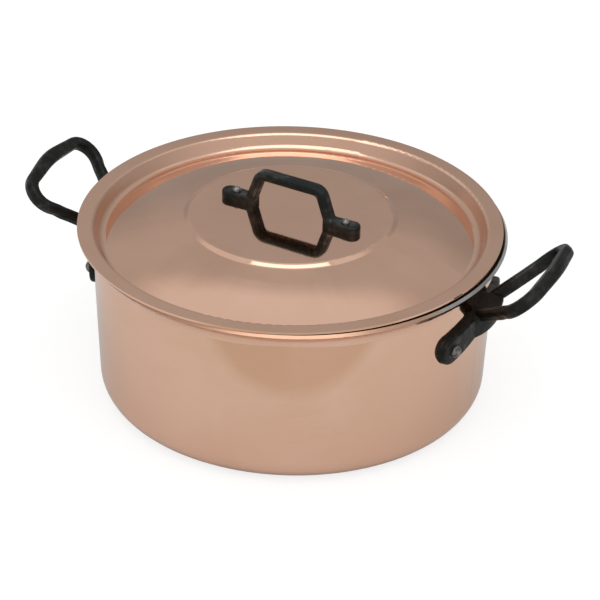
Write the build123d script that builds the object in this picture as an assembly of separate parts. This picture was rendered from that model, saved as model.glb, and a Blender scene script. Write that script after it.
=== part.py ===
from build123d import *
from math import asin, cos, degrees, hypot, pi, radians, sin, tan
import os

# Lidded copper casserole with cast iron handles. Millimetres, +Z up, origin at the middle of the
# flat base. The two side handles lie along X, and the lid rests on the pan's flared rim.

# Pan
PAN_RADIUS = 140.0
BASE_RADIUS = 134.6
BASE_CORNER = 16.5
RIM_TOP = 123.6
RIM_OUT = 7.3
RIM_LEAN = 50.0
RIM_BEND = 12.0
PAN_COPPER = 2.0
PAN_TIN = 0.4
PAN_SKIN = PAN_COPPER + PAN_TIN

# Lid
LID_RADIUS = 147.4
LID_COPPER = 1.5
LID_TIN = 0.4
LID_SKIN = LID_COPPER + LID_TIN
LID_GAP = 0.3
LID_SHIFT = -3.4
LID_TOP = RIM_TOP + LID_GAP + LID_SKIN
FLANGE_INNER = 136.4
FLANGE_BEND = 2.5
FLOOR_RADIUS = 131.0
FLOOR_DROP = 11.1
FLOOR_BEND = 4.0
DOME_SHOULDER = 103.0
DOME_RISE = 0.3
DOME_BEND = 150.0
DISC_OUTER = 74.0
DISC_INNER = 70.6
DISC_FOOT = 6.0
DISC_RISE = 8.0
DISC_BEND = 3.0
LID_TIN_MARGIN = 1.2

# Side handles, each a casting whose loop leans up and out from a hub with two feet
FOOT_THICK = 4.7
FOOT_WIDTH = 21.0
FOOT_BEND = 9.6
FOOT_ROUNDING = 2.2
HUB_Z = 94.5
HUB_FRONT = 151.4
HUB_BULGE = 28.0
HUB_LEAN = 14.0
HUB_BACK = 110.0
LUG_HALF = 10.0
LUG_TOP = 100.5
LUG_BEND = 5.0
SHOULDER = 21.0
SHOULDER_Z = 97.5
SHOULDER_BEND = 14.0
CROTCH_Z = 84.0
CROTCH_BEND = 14.0
RIVET_ACROSS = 42.5
RIVET_Z = 81.6
FOOT_Z = 83.0
PAST_RIVET = 11.3

LOOP_START = 139.0
LOOP_Z = 93.3
LOOP_SLOPE = 35.9
LOOP_END_SLOPE = 43.7
LOOP_HALF_ROOT = 10.4
LOOP_HALF_GRIP = 50.4
LOOP_REACH = 59.6
LOOP_BOW = 6.7
LOOP_CORNER = 13.3
GRIP_BEND = 80.0
ARM_WIDTH = 7.2
GRIP_WIDTH = 10.4
BAR_DEPTH = 9.2
BAR_DRAFT = 11.0
BAR_ROUNDING = 2.4
LOOP_STATIONS = 33

# Lid handle, one strap bent up from two flat feet
STRAP_TURN = -7.0
STRAP_RIVETS = 43.3
STRAP_FOOT_WIDTH = 12.8
STRAP_FOOT_THICK = 5.6
STRAP_FOOT_BEND = 5.9
STRAP_PAST_RIVET = 11.0
STRAP_LEG_FOOT = 31.6
STRAP_LEG_TOP = 23.8
STRAP_TOP = 24.3
STRAP_CORNER = 6.5
STRAP_DEPTH = 9.6
STRAP_WIDTH = 7.2
STRAP_ROUNDING = 3.0
STRAP_FOOT_ROUNDING = 1.6
STRAP_NECK = 2.8

# Rivets of the pan and of the lid
SHANK = 2.6
HEAD = 4.4
HEAD_RISE = 3.8
INNER_HEAD = 6.0
INNER_HEAD_RISE = 2.4
STRAP_SHANK = 2.0
STRAP_HEAD = 3.1
STRAP_HEAD_RISE = 2.8
STRAP_INNER_HEAD = 5.0
SHANK_PLAY = 0.05
SEAT_SPARE = 1.0
SAME_LEVEL = 0.01


def left_of(way):
    """Direction to the left of a way that runs in the XZ plane, with X to the right and Z up."""
    return Vector(-way.Z, 0, way.X)


def shifted(corners, depth):
    """A run of corners moved depth to its left, with each corner still where its two sides meet."""
    ways = [(after - before).normalized() for before, after in zip(corners, corners[1:])]
    lefts = [left_of(way) for way in ways]
    moved = [corners[0] + lefts[0] * depth]
    for corner, before, after in zip(corners[1:], lefts, lefts[1:]):
        both = before + after
        moved.append(corner + both * (2 * depth / both.dot(both)))
    moved.append(corners[-1] + lefts[-1] * depth)
    return moved


def bends(corners, radii, depth):
    """Bend radii of a run of corners once it is moved depth to its left."""
    ways = [after - before for before, after in zip(corners, corners[1:])]
    turns = [left_of(before).dot(after) for before, after in zip(ways, ways[1:])]
    return [radius - depth if turn > 0 else radius + depth for radius, turn in zip(radii, turns)]


def rounded_run(corners, radii):
    """Lines along a run of corners, joined by an arc of its own radius at each inner corner."""
    edges = []
    start = corners[0]
    for before, corner, after, radius in zip(corners, corners[1:], corners[2:], radii):
        back = (before - corner).normalized()
        ahead = (after - corner).normalized()
        half_angle = radians(back.get_angle(ahead)) / 2
        reach = radius / tan(half_angle)
        crown = corner + (back + ahead).normalized() * (radius / sin(half_angle) - radius)
        edges.append(Edge.make_line(start, corner + back * reach))
        edges.append(Edge.make_three_point_arc(corner + back * reach, crown, corner + ahead * reach))
        start = corner + ahead * reach
    edges.append(Edge.make_line(start, corners[-1]))
    return edges


def turned_skin(corners, radii, near, far):
    """Sheet between two depths to the left of a run of corners, turned about the Z axis."""
    near_run = shifted(corners, near)
    far_run = shifted(corners, far)
    edges = rounded_run(near_run, bends(corners, radii, near))
    edges += rounded_run(far_run, bends(corners, radii, far))
    edges.append(Edge.make_line(near_run[0], far_run[0]))
    edges.append(Edge.make_line(near_run[-1], far_run[-1]))
    return revolve(Face(Wire(edges)), Axis.Z)


def rim_run():
    """Outer line of the flared rim: where it leaves the wall, and its end."""
    lean = Vector(sin(radians(RIM_LEAN)), 0, cos(radians(RIM_LEAN)))
    end = Vector(PAN_RADIUS + RIM_OUT, 0, RIM_TOP - (left_of(lean) * PAN_SKIN).Z)
    return end - lean * (RIM_OUT / lean.X), end


def pan_line(shortened):
    """Outer line of the pan from the middle of its base to its rim, less a length at the rim."""
    bend, end = rim_run()
    end -= (end - bend).normalized() * shortened
    return [Vector(0, 0, 0), Vector(BASE_RADIUS, 0, 0), bend, end]


def wall_radius(height, outside):
    """Radius, at a height, of a cone that far outside the pan's wall and parallel to it."""
    bend = rim_run()[0]
    spread = (PAN_RADIUS - BASE_RADIUS) / bend.Z
    return BASE_RADIUS + spread * height + outside * hypot(1, spread)


def lid_line(outer_radius):
    """Upper line of the lid from its middle out to its edge."""
    return [
        Vector(0, 0, LID_TOP + DISC_RISE),
        Vector(DISC_INNER, 0, LID_TOP + DISC_RISE),
        Vector(DISC_OUTER, 0, LID_TOP + DISC_FOOT),
        Vector(DOME_SHOULDER, 0, LID_TOP + DOME_RISE),
        Vector(FLOOR_RADIUS, 0, LID_TOP - FLOOR_DROP),
        Vector(FLANGE_INNER, 0, LID_TOP),
        Vector(outer_radius, 0, LID_TOP),
    ]


def foot_seat():
    """Distance of a foot's face from the pan's axis, at the rivets."""
    return wall_radius(RIVET_Z, FOOT_THICK)


def rivet_place(side, across):
    """Frame of a pan rivet: its origin on the pan's axis, its Z axis out through the wall."""
    angle = degrees(asin(across / foot_seat())) + (0 if side > 0 else 180)
    return Pos(0, 0, RIVET_Z) * Rot(0, 0, angle) * Rot(0, 90, 0)


def pan_rivet_places(side):
    """Frames of one side handle's two rivets."""
    return [rivet_place(side, across) for across in (-RIVET_ACROSS, RIVET_ACROSS)]


def strap_place():
    """Frame of the lid handle: its origin on top of the lid's disc, its X axis through its rivets."""
    return Pos(LID_SHIFT, 0, LID_TOP + DISC_RISE) * Rot(0, 0, STRAP_TURN)


def strap_rivet_places():
    """Frames of the lid handle's two rivets."""
    return [strap_place() * Pos(across, 0, 0) for across in (-STRAP_RIVETS, STRAP_RIVETS)]


def shank(place, radius, low, high):
    """Round rivet shank, or the hole for it, between two distances along a rivet's axis."""
    from_low = (Align.CENTER, Align.CENTER, Align.MIN)
    return place * Pos(0, 0, low) * Cylinder(radius, high - low, align=from_low)


def head(radius, rise, spare):
    """Rivet head on the XY plane: a short round wall under a ball's cap, and a stub below it."""
    wall = rise / 4
    cap = rise - wall
    ball = (radius ** 2 + cap ** 2) / (2 * cap)
    lean = asin(radius / ball) / 2
    rim = Vector(radius, 0, wall)
    crown = Vector(ball * sin(lean), 0, rise - ball * (1 - cos(lean)))
    top = Vector(0, 0, rise)
    foot = Vector(0, 0, -spare)
    corner = Vector(radius, 0, -spare)
    outline = [Edge.make_line(a, b) for a, b in ((foot, corner), (corner, rim), (top, foot))]
    outline.append(Edge.make_three_point_arc(rim, crown, top))
    return revolve(Face(Wire(outline)), Axis.Z)


def make_pan_shell():
    """Copper pan, outside skin, with four rivet holes."""
    shell = turned_skin(pan_line(PAN_TIN), [BASE_CORNER, RIM_BEND], 0, PAN_COPPER)
    return shell - pan_holes()


def make_pan_lining():
    """Tin skin over the inside of the pan, turned over the end of the rim."""
    whole = turned_skin(pan_line(0), [BASE_CORNER, RIM_BEND], 0, PAN_SKIN)
    copper = turned_skin(pan_line(PAN_TIN), [BASE_CORNER, RIM_BEND], 0, PAN_COPPER)
    return whole - copper - pan_holes()


def pan_holes():
    """Rivet holes through the wall and both handles' feet."""
    places = pan_rivet_places(1) + pan_rivet_places(-1)
    low = wall_radius(RIVET_Z, -PAN_SKIN) - SEAT_SPARE
    return [shank(place, SHANK + SHANK_PLAY, low, foot_seat() + SEAT_SPARE) for place in places]


def make_pan_rivets(side):
    """The two rivets of one side handle, headed outside the foot and inside the pan."""
    inside = wall_radius(RIVET_Z, -PAN_SKIN)
    outside = foot_seat()
    outer_trim = upright(FOOT_THICK)
    inner_trim = upright(-PAN_SKIN)
    rivets = []
    for place in pan_rivet_places(side):
        outer = place * Pos(0, 0, outside) * head(HEAD, HEAD_RISE, SEAT_SPARE) - outer_trim
        inner = place * Pos(0, 0, inside) * Rot(180, 0, 0) * head(INNER_HEAD, INNER_HEAD_RISE, SEAT_SPARE)
        middle = shank(place, SHANK, inside - SEAT_SPARE, outside + SEAT_SPARE)
        rivets.append(middle + outer + (inner & inner_trim))
    return rivets


def foot_outline():
    """Hub, lug and two drooping feet of a side handle, seen from outside: X across, Y up."""
    along = Vector(RIVET_ACROSS, FOOT_Z - HUB_Z).normalized()
    up = Vector(-along.Y, along.X) * (FOOT_WIDTH / 2)
    end = Vector(RIVET_ACROSS, FOOT_Z) + along * PAST_RIVET
    half = [
        (Vector(LUG_HALF, LUG_TOP), LUG_BEND),
        (Vector(SHOULDER, SHOULDER_Z), SHOULDER_BEND),
        (end + up, FOOT_BEND),
        (end - up, FOOT_BEND),
    ]
    other = [(Vector(-corner.X, corner.Y), bend) for corner, bend in reversed(half)]
    crotch = [(Vector(0, CROTCH_Z), CROTCH_BEND)]
    ring = half + crotch + other
    first = (half[0][0] + other[-1][0]) / 2
    corners = [first] + [corner for corner, bend in ring] + [first]
    return make_face(Wire(rounded_run(corners, [bend for corner, bend in ring])))


def upright(outside):
    """Cone that far outside the pan's wall, higher than the pan, with its seam away from the handle."""
    height = 2 * RIM_TOP
    from_base = (Align.CENTER, Align.CENTER, Align.MIN)
    cone = Cone(wall_radius(0, outside), wall_radius(height, outside), height, align=from_base)
    return Rot(0, 0, 180) * cone


def blunted(plate):
    """A plate with the edges of its outer face rounded."""
    back = HUB_BACK + SEAT_SPARE
    front = [edge for edge in plate.edges() if min(corner.X for corner in edge.vertices()) > back]
    return fillet(front, FOOT_ROUNDING)


def make_hub():
    """Block of a side handle's hub and feet: bulging at the hub, a thin curved plate at the feet."""
    outline = Plane.YZ.offset(HUB_BACK) * foot_outline()
    block = extrude(outline, LID_RADIUS + RIM_OUT - HUB_BACK)
    swell = Rot(0, HUB_LEAN, 0) * Rot(0, 0, 180) * Cylinder(HUB_BULGE, RIM_TOP)
    bulge = block & (Pos(HUB_FRONT - HUB_BULGE, 0, HUB_Z) * swell)
    band = block & upright(FOOT_THICK)
    return blunted(bulge) + blunted(band)


def make_side_handle(side):
    """One side handle, cast in one piece and hollowed at the back to the wall's curve."""
    handle = make_hub() + make_loop() - upright(0)
    if side < 0:
        handle = Rot(0, 0, 180) * handle
    return handle - pan_holes()


def loop_side_run():
    """Side view of the loop's middle surface: one arc that leaves the hub and grows steeper."""
    turn = radians(LOOP_END_SLOPE - LOOP_SLOPE)
    radius = (LOOP_REACH + 2 * LOOP_BOW) / turn
    start = Vector(LOOP_START, 0, LOOP_Z)
    middle, end = (start + arc_step(radius, turn * part) for part in (0.5, 1))
    return Wire([Edge.make_three_point_arc(start, middle, end)])


def arc_step(radius, turn):
    """Move out and up along the side view's arc, from the hub on, as its slope turns."""
    first = radians(LOOP_SLOPE)
    across = radius * (sin(first + turn) - sin(first))
    up = radius * (cos(first) - cos(first + turn))
    return Vector(across, 0, up)


def loop_flat_run():
    """The loop laid flat: X is the distance out from the hub, Z is across."""
    corners = [
        Vector(0, 0, -LOOP_HALF_ROOT),
        Vector(LOOP_REACH, 0, -LOOP_HALF_GRIP),
        Vector(LOOP_REACH + LOOP_BOW, 0, 0),
        Vector(LOOP_REACH, 0, LOOP_HALF_GRIP),
        Vector(0, 0, LOOP_HALF_ROOT),
    ]
    return Wire(rounded_run(corners, [LOOP_CORNER, GRIP_BEND, LOOP_CORNER]))


def bar_section(width):
    """Section of the cast bar, widest at the parting line halfway up and rounded above and below."""
    narrow = width / 2 - BAR_DEPTH / 2 * tan(radians(BAR_DRAFT))
    corners = [
        (width / 2, 0),
        (narrow, BAR_DEPTH / 2),
        (-narrow, BAR_DEPTH / 2),
        (-width / 2, 0),
        (-narrow, -BAR_DEPTH / 2),
        (narrow, -BAR_DEPTH / 2),
    ]
    face = make_face(Polyline(*corners, close=True))
    blunt = [corner for corner in face.vertices() if abs(corner.Y) > BAR_DEPTH / 4]
    return fillet(blunt, BAR_ROUNDING)


def make_loop():
    """Loop of a side handle, lofted through sections along its middle line."""
    side_run = loop_side_run()
    flat_run = loop_flat_run()
    sections = []
    for station in range(LOOP_STATIONS):
        along = station / (LOOP_STATIONS - 1)
        flat = flat_run.position_at(along)
        heading = flat_run.tangent_at(along)
        spot = side_run.position_at(flat.X / side_run.length)
        climb = side_run.tangent_at(flat.X / side_run.length)
        way = climb * heading.X + Vector(0, heading.Z, 0)
        middle = Vector(spot.X, flat.Z, spot.Z)
        gripped = cos(pi / 2 * min(abs(2 * along - 1) / 0.6, 1)) ** 2
        width = ARM_WIDTH + (GRIP_WIDTH - ARM_WIDTH) * gripped
        plane = Plane(origin=middle, x_dir=way.cross(left_of(climb)), z_dir=way)
        sections.append(plane * bar_section(width))
    return loft(sections)


def make_lid_shell():
    """Copper lid: flat flange, sunken domed floor and a raised round disc in the middle."""
    radii = [DISC_BEND, DISC_BEND, DOME_BEND, FLOOR_BEND, FLANGE_BEND]
    shell = turned_skin(lid_line(LID_RADIUS), radii, -LID_COPPER, 0)
    return Pos(LID_SHIFT, 0, 0) * shell - strap_holes()


def make_lid_lining():
    """Tin skin under the lid, just short of its edge."""
    radii = [DISC_BEND, DISC_BEND, DOME_BEND, FLOOR_BEND, FLANGE_BEND]
    lining = turned_skin(lid_line(LID_RADIUS - LID_TIN_MARGIN), radii, -LID_SKIN, -LID_COPPER)
    return Pos(LID_SHIFT, 0, 0) * lining - strap_holes()


def strap_holes():
    """Rivet holes through the lid and the strap's feet."""
    radius = STRAP_SHANK + SHANK_PLAY
    low = -LID_SKIN - SEAT_SPARE
    return [shank(place, radius, low, STRAP_FOOT_THICK + SEAT_SPARE) for place in strap_rivet_places()]


def strap_foot(side):
    """Flat foot of the lid handle: as wide as its leg at one end, wider and round at the other."""
    inner = STRAP_LEG_FOOT - STRAP_WIDTH / 2
    outer = STRAP_RIVETS + STRAP_PAST_RIVET
    corners = [
        Vector(inner, -STRAP_DEPTH / 2),
        Vector(outer, -STRAP_FOOT_WIDTH / 2),
        Vector(outer, STRAP_FOOT_WIDTH / 2),
        Vector(inner, STRAP_DEPTH / 2),
    ]
    edges = rounded_run(corners, [STRAP_FOOT_BEND, STRAP_FOOT_BEND])
    edges.append(Edge.make_line(corners[-1], corners[0]))
    foot = extrude(make_face(Wire(edges)), STRAP_FOOT_THICK)
    top = [edge for edge in foot.edges().group_by(Axis.Z)[-1] if edge.center().X > inner]
    foot = fillet(top, STRAP_FOOT_ROUNDING)
    return foot if side > 0 else foot.mirror(Plane.YZ)


def make_lid_handle():
    """Cast strap handle of the lid: a rounded bar over two legs, and a foot under each leg."""
    corners = [
        Vector(-STRAP_LEG_FOOT, 0, STRAP_WIDTH / 4),
        Vector(-STRAP_LEG_TOP, 0, STRAP_TOP),
        Vector(STRAP_LEG_TOP, 0, STRAP_TOP),
        Vector(STRAP_LEG_FOOT, 0, STRAP_WIDTH / 4),
    ]
    path = Wire(rounded_run(corners, [STRAP_CORNER, STRAP_CORNER]))
    start = Plane(origin=path @ 0, x_dir=(0, 1, 0), z_dir=path % 0)
    section = start * RectangleRounded(STRAP_DEPTH, STRAP_WIDTH, STRAP_ROUNDING)
    bar = sweep(section, path)
    handle = strap_foot(1) + strap_foot(-1) + bar
    level = handle.edges().filter_by(lambda edge: abs(edge.center().Z - STRAP_FOOT_THICK) < SAME_LEVEL)
    necks = [edge for edge in level if abs(edge.center().X) < STRAP_RIVETS]
    return strap_place() * fillet(necks, STRAP_NECK) - strap_holes()


def make_lid_handle_rivets():
    """The lid handle's two rivets, headed on top of the feet and under the lid."""
    rivets = []
    for place in strap_rivet_places():
        top = place * Pos(0, 0, STRAP_FOOT_THICK) * head(STRAP_HEAD, STRAP_HEAD_RISE, 0)
        under = place * Pos(0, 0, -LID_SKIN) * Rot(180, 0, 0) * head(STRAP_INNER_HEAD, STRAP_HEAD_RISE, 0)
        rivets.append(shank(place, STRAP_SHANK, -LID_SKIN, STRAP_FOOT_THICK) + top + under)
    return rivets


def write(name, shape):
    """Write one node, of one solid or of a list of alike solids, to its own file."""
    if isinstance(shape, list):
        shape = Compound([piece.solid() for piece in shape])
    export_step(shape, f"parts/{name}.step")


def main():
    os.makedirs("parts", exist_ok=True)
    write("pan_shell", make_pan_shell())
    write("pan_lining", make_pan_lining())
    write("right_handle", make_side_handle(1))
    write("left_handle", make_side_handle(-1))
    write("right_handle_rivets", make_pan_rivets(1))
    write("left_handle_rivets", make_pan_rivets(-1))
    write("lid_shell", make_lid_shell())
    write("lid_lining", make_lid_lining())
    write("lid_handle", make_lid_handle())
    write("lid_handle_rivets", make_lid_handle_rivets())


main()
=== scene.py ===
import math

import bpy
from mathutils import Matrix, Vector

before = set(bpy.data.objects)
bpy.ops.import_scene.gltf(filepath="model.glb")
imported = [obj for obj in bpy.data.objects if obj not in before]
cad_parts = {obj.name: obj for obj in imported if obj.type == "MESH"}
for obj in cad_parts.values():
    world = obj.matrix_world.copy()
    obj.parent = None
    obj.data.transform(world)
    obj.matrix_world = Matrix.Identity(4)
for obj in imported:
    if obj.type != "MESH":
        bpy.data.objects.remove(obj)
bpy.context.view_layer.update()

# The studio stands turned from the pan's own axes: in it, the camera looks along +Y.
STUDIO_TURN = math.radians(22.6)
CAMERA_PLACE = (0.0, -1.91613, 1.18398)
CAMERA_AHEAD = (0.00211, 0.86363, -0.50412)
CAMERA_UP = (-0.02133, 0.50405, 0.86341)
CAMERA_LENS = 189.95
SENSOR = 36.0

# The paper floor. The camera sees paper and glow mixed, which together come to white.
FLOOR_SINK = 0.0004
FLOOR_SIDE = 60.0
PAPER = (0.67, 0.67, 0.67)
FLOOR_GLOW = 1.27
GLOW_FOR_CAMERA = 0.62
GLOW_IN_REFLECTIONS = 0.05

# The room of grey cards that stands round the pan, in the studio's directions.
ROOM_HALF = 3.0
ROOM_BACK = 1.7
ROOM_FRONT = -3.2
ROOM_TOP = 2.6
BACK_BEND = 1.5
TOP_BACK = 0.2
FRONT_GREY = 0.60
SIDE_GREY = 0.36

# The painted shade seen in the wall's polish: a warm grey zone glowing on a sheet in front, where it
# starts and ends from left to right, and how near it comes.
SHADE_ZONE_LEFT = (-0.24, -0.17)
SHADE_ZONE_RIGHT = (0.75, 1.00)
SHADE_ZONE_NEAR = (-0.245, -0.22)
SHADE_ZONE_COLOUR = (0.645, 0.605, 0.54)

# The lid's middle, and the rings of the lid and the rim as distances from the middle.
LID_CENTRE = -0.0034
# The ring where the lid's streaks lie: their bumps and roughness, and the painted sheen in their
# colour.
STREAKS_AND_SHEEN_START = (0.045, 0.100)
STREAKS_AND_SHEEN_END = (0.100, 0.130)
RECESS_START = (0.125, 0.131)
RECESS_END = (0.138, 0.142)
LIP_START = (0.1455, 0.1459)
# Share of the +X direction from which the lip still has its tin.
LIP_TIN = (0.84, 0.95)

WHITE = (1.0, 1.0, 1.0)
WALL_PINK, WALL_TAN, WALL_SMEAR = (0.82, 0.535, 0.400), (0.79, 0.508, 0.368), (0.72, 0.45, 0.32)
# The lid's lighter pink is painted sheen along its streaks.
LID_TAN, LID_SHEEN_PINK, LID_CLOUD = (0.81, 0.512, 0.375), (0.86, 0.555, 0.412), (0.78, 0.485, 0.345)
RUBBED_COPPER = (0.66, 0.40, 0.27)
TIN_BRIGHT, TIN_GREY, TIN_SPOT = (0.66, 0.655, 0.635), (0.54, 0.535, 0.515), (0.30, 0.29, 0.27)
IRON_BLACK, IRON_GREEN = (0.004, 0.0045, 0.0035), (0.005, 0.009, 0.0075)
IRON_PATCH, IRON_WORN = (0.008, 0.007, 0.005), (0.022, 0.018, 0.012)
RIVET_BRIGHT, RIVET_DARK = (0.30, 0.29, 0.27), (0.09, 0.085, 0.075)


def studio(place):
    """A place given in the studio's directions, in the pan's own axes."""
    return Matrix.Rotation(STUDIO_TURN, 3, "Z") @ Vector(place)


class Value:
    """One output in a finish's node tree, so that sums on it read as plain arithmetic."""

    def __init__(self, finish, socket):
        self.finish = finish
        self.socket = socket

    def maths(self, operation, *values):
        node = self.finish.node("ShaderNodeMath", {"operation": operation}, dict(enumerate(values)))
        return Value(self.finish, node.outputs[0])

    def __add__(self, other):
        return self.maths("ADD", self, other)

    def __radd__(self, other):
        return self.maths("ADD", other, self)

    def __sub__(self, other):
        return self.maths("SUBTRACT", self, other)

    def __rsub__(self, other):
        return self.maths("SUBTRACT", other, self)

    def __mul__(self, other):
        return self.maths("MULTIPLY", self, other)

    def __truediv__(self, other):
        return self.maths("DIVIDE", self, other)

    def __pow__(self, other):
        return self.maths("POWER", self, other)

    def above(self, low, high):
        """0 below low, 1 above high, and a smooth rise between."""
        node = self.finish.node(
            "ShaderNodeMapRange",
            {"interpolation_type": "SMOOTHSTEP"},
            {"Value": self, "From Min": low, "From Max": high},
        )
        return Value(self.finish, node.outputs["Result"])

    def within(self, start, end):
        """1 between the start and the end, each a range over which it rises or falls."""
        return self.above(*start) * (1.0 - self.above(*end))


class Finish:
    """A material, and the one way to add nodes to it."""

    def __init__(self, name, world=None):
        self.owner = world or bpy.data.materials.new(name)
        self.owner.use_nodes = True
        self.tree = self.owner.node_tree
        self.tree.nodes.clear()

    def node(self, kind, settings=None, sockets=None):
        """A node of that type: its settings first, then the values or links of its sockets."""
        made = self.tree.nodes.new(kind)
        for name, value in (settings or {}).items():
            setattr(made, name, value)
        for name, value in (sockets or {}).items():
            if isinstance(value, Value):
                self.tree.links.new(value.socket, made.inputs[name])
            else:
                made.inputs[name].default_value = value
        return made

    def out(self, kind, output, settings=None, sockets=None):
        """The named output of a new node."""
        return Value(self, self.node(kind, settings, sockets).outputs[output])

    def place(self):
        """Where a point of the surface is on its object, in metres."""
        return self.out("ShaderNodeTexCoord", "Object")

    def split(self, vector):
        """The X, Y and Z of a vector."""
        node = self.node("ShaderNodeSeparateXYZ", None, {0: vector})
        return [Value(self, output) for output in node.outputs]

    def joined(self, x, y, z):
        return self.out("ShaderNodeCombineXYZ", 0, None, {0: x, 1: y, 2: z})

    def stretched(self, vector, stretch, shift=(0, 0, 0)):
        sockets = {"Vector": vector, "Location": shift, "Scale": stretch}
        return self.out("ShaderNodeMapping", 0, None, sockets)

    def noise(self, where, scale, detail=2.0, roughness=0.5, distortion=0.0):
        """Cloudy noise from 0 to 1, with about so many lumps per metre."""
        sockets = {"Vector": where, "Scale": scale, "Detail": detail}
        sockets.update({"Roughness": roughness, "Distortion": distortion})
        return self.out("ShaderNodeTexNoise", "Fac", None, sockets)

    def cells(self, where, scale):
        return self.out("ShaderNodeTexVoronoi", "Distance", None, {"Vector": where, "Scale": scale})

    def blend(self, amount, first, second):
        """Colour between two colours or colour links."""
        sockets = {0: amount, 6: self.colour(first), 7: self.colour(second)}
        return self.out("ShaderNodeMix", 2, {"data_type": "RGBA"}, sockets)

    def colour(self, value):
        return value if isinstance(value, Value) else (*value, 1.0)

    def bump(self, height, depth, normal=None):
        """Normal of a surface whose height, from 0 to 1, stands for so many metres."""
        sockets = {"Height": height, "Distance": depth, "Strength": 1.0}
        if normal:
            sockets["Normal"] = normal
        return self.out("ShaderNodeBump", 0, None, sockets)

    def round_the_axis(self, centre=0.0):
        """Direction from the upright axis as X and Y, distance from it, and height, in metres."""
        x, y, z = self.split(self.place())
        x = x - centre
        radius = (x * x + y * y + 1e-8) ** 0.5
        return x / radius, y / radius, radius, z

    def metal(self, colour, roughness, normal, share=1.0):
        """Ends the material as a metal, or mostly as one."""
        sockets = {"Base Color": colour, "Metallic": share, "Roughness": roughness, "Normal": normal}
        return self.surface(sockets)

    def surface(self, sockets):
        """Ends the material in one principled shader."""
        self.finish_with(self.out("ShaderNodeBsdfPrincipled", 0, None, sockets))
        return self.owner

    def finish_with(self, shader):
        self.node("ShaderNodeOutputMaterial", None, {0: shader})

    def glow(self, colour, strength=1.0):
        sockets = {"Color": self.colour(colour), "Strength": strength}
        return self.out("ShaderNodeEmission", 0, None, sockets)

    def mixed(self, amount, first, second):
        """One shader between two."""
        return self.out("ShaderNodeMixShader", 0, None, {0: amount, 1: first, 2: second})


def wall_copper():
    """Polished copper of the pan: level polishing lines, faint clouds and handling smears."""
    f = Finish("pan_copper_polished")
    cos_way, sin_way, radius, height = f.round_the_axis()
    lines_place = f.joined(cos_way * 2.2, sin_way * 2.2, (height + radius) * 900)
    lines = f.noise(lines_place, 1.0, 3.0, 0.6)
    clouds = f.noise(f.place(), 14.0, 3.0, 0.5, 0.4)
    smears = f.noise(f.stretched(f.place(), (1, 1, 2.5), (0.3, 0.1, 0.0)), 38.0, 4.0, 0.6, 0.8)
    colour = f.blend(clouds.above(0.35, 0.65), WALL_PINK, WALL_TAN)
    colour = f.blend(smears.above(0.55, 0.8) * 0.25, colour, WALL_SMEAR)
    roughness = lines * 0.03 + 0.06 + smears.above(0.45, 0.85) * 0.05
    waves = f.bump(f.noise(f.place(), 22.0, 1.0), 0.0002)
    return f.metal(colour, roughness, f.bump(lines, 0.0000025, waves))


def lid_copper():
    """Polished copper of the lid: turned rings, and soft streaks that run out from the middle, as
    bumps and roughness, and as a lighter pink painted sheen in the colour.
    """
    f = Finish("lid_copper_polished")
    cos_way, sin_way, radius, _ = f.round_the_axis(LID_CENTRE)
    rings = f.noise(f.joined(cos_way * 1.6, sin_way * 1.6, radius * 900), 1.0, 3.0, 0.6)
    fan = f.noise(f.joined(cos_way * 2.6, sin_way * 2.6, radius * 6.0), 1.0, 3.0, 0.5, 0.3)
    streaks_and_sheen = (fan - 0.5) * radius.within(STREAKS_AND_SHEEN_START, STREAKS_AND_SHEEN_END) + 0.5
    recess = radius.within(RECESS_START, RECESS_END)
    clouds = f.noise(f.place(), 16.0, 3.0, 0.5, 0.4)
    # Painted sheen: where the streaks rise, the colour turns lighter and pinker, standing in for the
    # radial highlights of the spun polish.
    colour = f.blend(streaks_and_sheen.above(0.35, 0.65), LID_TAN, LID_SHEEN_PINK)
    colour = f.blend(clouds.above(0.45, 0.7) * 0.5, colour, LID_CLOUD)
    roughness = rings * 0.025 + 0.035 + streaks_and_sheen.above(0.4, 0.7) * 0.04 + recess * 0.15
    waves = f.bump(streaks_and_sheen, 0.0005)
    return f.metal(colour, roughness, f.bump(rings, 0.0000025, waves))


def wiped_tin(name):
    """Hand-wiped tin with streaks and dull spots, and copper where the lip is rubbed."""
    f = Finish(name)
    place = f.place()
    wipes = f.noise(f.stretched(place, (1, 3, 5)), 24.0, 4.0, 0.6, 1.2)
    spots = f.noise(place, 160.0, 3.0, 0.6)
    cos_way, _, radius, _ = f.round_the_axis()
    rubbed = radius.above(*LIP_START) * (1.0 - cos_way.above(*LIP_TIN))
    colour = f.blend(wipes.above(0.35, 0.7), TIN_BRIGHT, TIN_GREY)
    colour = f.blend(spots.above(0.62, 0.75) * 0.5, colour, TIN_SPOT)
    colour = f.blend(rubbed, colour, RUBBED_COPPER)
    roughness = wipes * 0.14 + 0.24
    return f.metal(colour, roughness, f.bump(wipes, 0.0001, f.bump(spots, 0.00003)))


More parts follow.
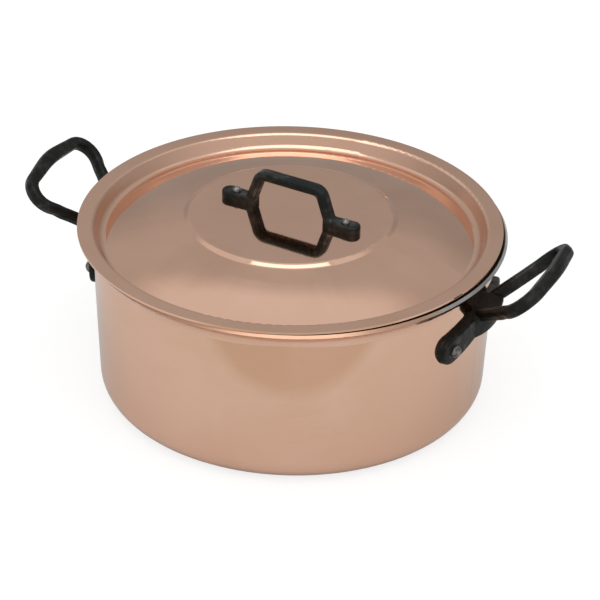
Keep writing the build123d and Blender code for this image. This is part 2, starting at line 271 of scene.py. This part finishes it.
def cast_iron(name, black, sheen):
    """Black, oiled cast iron: sand-cast grain, file marks across, and brown where it has worn."""
    f = Finish(name)
    place = f.place()
    grain = f.noise(place, 1100.0, 3.0, 0.6)
    lumps = f.noise(place, 210.0, 3.0, 0.55)
    patches = f.noise(place, 45.0, 3.0, 0.6)
    file_marks = f.noise(f.stretched(place, (11, 1, 1)), 95.0, 2.0, 0.6)
    colour = f.blend(patches.above(0.4, 0.7), black, IRON_PATCH)
    colour = f.blend(lumps.above(0.58, 0.72) * 0.5, colour, IRON_WORN)
    roughness = lumps * 0.12 + 0.34 + grain * 0.1
    oiled = (patches * 0.6 + lumps * 0.4).above(0.45, 0.65)
    normal = f.bump(grain, 0.00008, f.bump(file_marks, 0.00012, f.bump(lumps, 0.0004)))
    sockets = {"Base Color": colour, "Roughness": roughness, "Normal": normal}
    sockets.update({"Specular IOR Level": 0.2, "Coat Weight": oiled * sheen, "Coat Roughness": 0.2})
    return f.surface(sockets)


def rivet_steel(name):
    """Steel rivet head, rubbed bright in places and dark in others, with hammer facets."""
    f = Finish(name)
    place = f.place()
    facets = f.cells(place, 420.0)
    stain = f.noise(place, 330.0, 4.0, 0.65)
    colour = f.blend(stain.above(0.35, 0.65), RIVET_BRIGHT, RIVET_DARK)
    roughness = stain * 0.2 + 0.34
    return f.metal(colour, roughness, f.bump(facets, 0.0004, f.bump(stain, 0.0002)), 0.9)


def paint_nodes():
    """Gives every CAD node its finish."""
    side_iron = cast_iron("side_handle_iron", IRON_BLACK, 0.6)
    side_steel = rivet_steel("side_rivet_steel")
    finishes = {
        "pan_shell": wall_copper(),
        "pan_lining": wiped_tin("pan_tin_wiped"),
        "right_handle": side_iron,
        "left_handle": side_iron,
        "right_handle_rivets": side_steel,
        "left_handle_rivets": side_steel,
        "lid_shell": lid_copper(),
        "lid_lining": wiped_tin("lid_tin_wiped"),
        "lid_handle": cast_iron("lid_handle_iron", IRON_GREEN, 1.0),
        "lid_handle_rivets": rivet_steel("lid_rivet_steel"),
    }
    for name, material in finishes.items():
        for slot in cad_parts[name].material_slots:
            slot.material = material


def seen_by(finish, *kinds):
    """1 for the kinds of ray that are named, 0 for others."""
    path = finish.node("ShaderNodeLightPath")
    total = Value(finish, path.outputs[kinds[0]])
    for kind in kinds[1:]:
        total = total.maths("MAXIMUM", total, Value(finish, path.outputs[kind]))
    return total


def stage_sheet(name, corners, finish):
    """A flat sheet of the studio, turned with it."""
    mesh = bpy.data.meshes.new(name)
    mesh.from_pydata(corners, [], [(0, 1, 2, 3)])
    mesh.materials.append(finish.owner)
    sheet = bpy.data.objects.new(name, mesh)
    sheet.rotation_euler = (0, 0, STUDIO_TURN)
    bpy.context.scene.collection.objects.link(sheet)
    return sheet


def make_floor():
    """Wide pale floor that keeps a soft shadow, and is white where it is seen directly."""
    f = Finish("pale_paper")
    paper = f.out("ShaderNodeBsdfDiffuse", 0, None, {"Color": f.colour(PAPER)})
    camera = seen_by(f, "Is Camera Ray")
    reflected = seen_by(f, "Is Glossy Ray", "Is Transmission Ray")
    seen = camera * GLOW_FOR_CAMERA + reflected * GLOW_IN_REFLECTIONS
    f.finish_with(f.mixed(seen, paper, f.glow(WHITE, FLOOR_GLOW)))
    half = FLOOR_SIDE / 2
    corners = [(-half, -half), (half, -half), (half, half), (-half, half)]
    stage_sheet("studio_floor", [(x, y, -FLOOR_SINK) for x, y in corners], f)


def make_card(name, corners, finish):
    """A card outside the picture, that shows only in reflections."""
    card = stage_sheet(name, corners, finish)
    card.visible_camera = False
    card.visible_diffuse = False
    card.visible_shadow = False


def across(y_low, z_low, y_high, z_high):
    """Corners of a card right across the room, from one level line to another."""
    return [
        (-ROOM_HALF, y_low, z_low),
        (ROOM_HALF, y_low, z_low),
        (ROOM_HALF, y_high, z_high),
        (-ROOM_HALF, y_high, z_high),
    ]


def plain_card(name, corners):
    f = Finish(name + "_glow")
    f.finish_with(f.glow(WHITE, FRONT_GREY))
    make_card(name, corners, f)


def rising_card(name, corners, heights, greys, tilt):
    """Card that gets brighter upwards between two heights, and a little to the left."""
    f = Finish(name + "_glow")
    x, _, z = f.split(f.place())
    up = (z - x * tilt).above(*heights)
    f.finish_with(f.mixed(up, f.glow(WHITE, greys[0]), f.glow(WHITE, greys[1])))
    make_card(name, corners, f)


def side_card(name, side):
    """Card at one side, that gets brighter towards the front."""
    f = Finish(name + "_glow")
    _, y, _ = f.split(f.place())
    back = y.above(ROOM_FRONT, ROOM_BACK)
    f.finish_with(f.mixed(back, f.glow(WHITE, FRONT_GREY), f.glow(WHITE, SIDE_GREY)))
    ends = [(ROOM_FRONT, 0.0), (ROOM_BACK, 0.0), (ROOM_BACK, ROOM_TOP), (ROOM_FRONT, ROOM_TOP)]
    make_card(name, [(side, y, z) for y, z in ends], f)


def shade_reflection_card():
    """Warm grey zone glowing on a sheet in front: painted shade that shows only in the wall's
    polish.
    """
    f = Finish("shade_reflection_card_glow")
    x, y, _ = f.split(f.place())
    # Painted shade: the zone glows darker and warmer than the floor does in reflections.
    shade_zone = x.within(SHADE_ZONE_LEFT, SHADE_ZONE_RIGHT) * (1.0 - y.above(*SHADE_ZONE_NEAR))
    clear = f.out("ShaderNodeBsdfTransparent", 0)
    f.finish_with(f.mixed(shade_zone, clear, f.glow(SHADE_ZONE_COLOUR)))
    corners = [(-0.4, -1.2, 0.0), (1.1, -1.2, 0.0), (1.1, -0.2, 0.0), (-0.4, -0.2, 0.0)]
    make_card("shade_reflection_card", corners, f)


def make_world():
    """White all round where it is seen, and plain soft light on the object."""
    world = bpy.data.worlds.new("studio_air")
    bpy.context.scene.world = world
    f = Finish("studio_air", world)
    colour = f.colour(WHITE)
    soft = f.out("ShaderNodeBackground", 0, None, {"Color": colour, "Strength": 0.8})
    white = f.out("ShaderNodeBackground", 0, None, {"Color": colour, "Strength": 1.0})
    seen = seen_by(f, "Is Camera Ray", "Is Glossy Ray", "Is Transmission Ray")
    f.node("ShaderNodeOutputWorld", None, {0: f.mixed(seen, soft, white)})


def make_lamp(name, place, side, power):
    """Soft square lamp that looks at the lid."""
    data = bpy.data.lights.new(name, "AREA")
    data.shape = "RECTANGLE"
    data.size = data.size_y = side
    data.energy = power
    lamp = bpy.data.objects.new(name, data)
    bpy.context.scene.collection.objects.link(lamp)
    lamp.location = studio(place)
    to_the_lid = Vector((0, 0, 0.1)) - lamp.location
    lamp.rotation_euler = to_the_lid.to_track_quat("-Z", "Y").to_euler()
    lamp.visible_camera = False


def make_camera():
    """Camera at the photograph's place and angle."""
    data = bpy.data.cameras.new("photo_camera")
    data.lens = CAMERA_LENS
    data.sensor_width = SENSOR
    data.clip_start, data.clip_end = 0.05, 100.0
    camera = bpy.data.objects.new("photo_camera", data)
    bpy.context.scene.collection.objects.link(camera)
    ahead = studio(CAMERA_AHEAD).normalized()
    right = ahead.cross(studio(CAMERA_UP)).normalized()
    up = right.cross(ahead)
    camera.matrix_world = Matrix((
        (right.x, up.x, -ahead.x, 0),
        (right.y, up.y, -ahead.y, 0),
        (right.z, up.z, -ahead.z, 0),
        (0, 0, 0, 1),
    ))
    camera.location = studio(CAMERA_PLACE)
    bpy.context.scene.camera = camera


def make_studio():
    """Floor, cards and light."""
    make_world()
    make_floor()
    low_back = across(ROOM_BACK, 0.0, ROOM_BACK, BACK_BEND)
    high_back = across(ROOM_BACK, BACK_BEND, TOP_BACK, ROOM_TOP)
    rising_card("low_back_card", low_back, (0.55, 1.45), (0.35, 0.49), 0.25)
    rising_card("high_back_card", high_back, (1.75, 2.15), (0.49, 0.74), 0.10)
    # A sheet in front with painted shade that shows only in the wall's polish.
    shade_reflection_card()
    plain_card("high_front_card", across(TOP_BACK, ROOM_TOP, ROOM_FRONT, ROOM_TOP))
    plain_card("front_card", across(ROOM_FRONT, 0.0, ROOM_FRONT, ROOM_TOP))
    side_card("left_card", -ROOM_HALF)
    side_card("right_card", ROOM_HALF)
    make_lamp("overhead_softbox", (0.0, -0.72, 1.7), 1.8, 13.5)
    bpy.context.scene.view_settings.view_transform = "Standard"


make_studio()
paint_nodes()

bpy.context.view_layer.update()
make_camera()
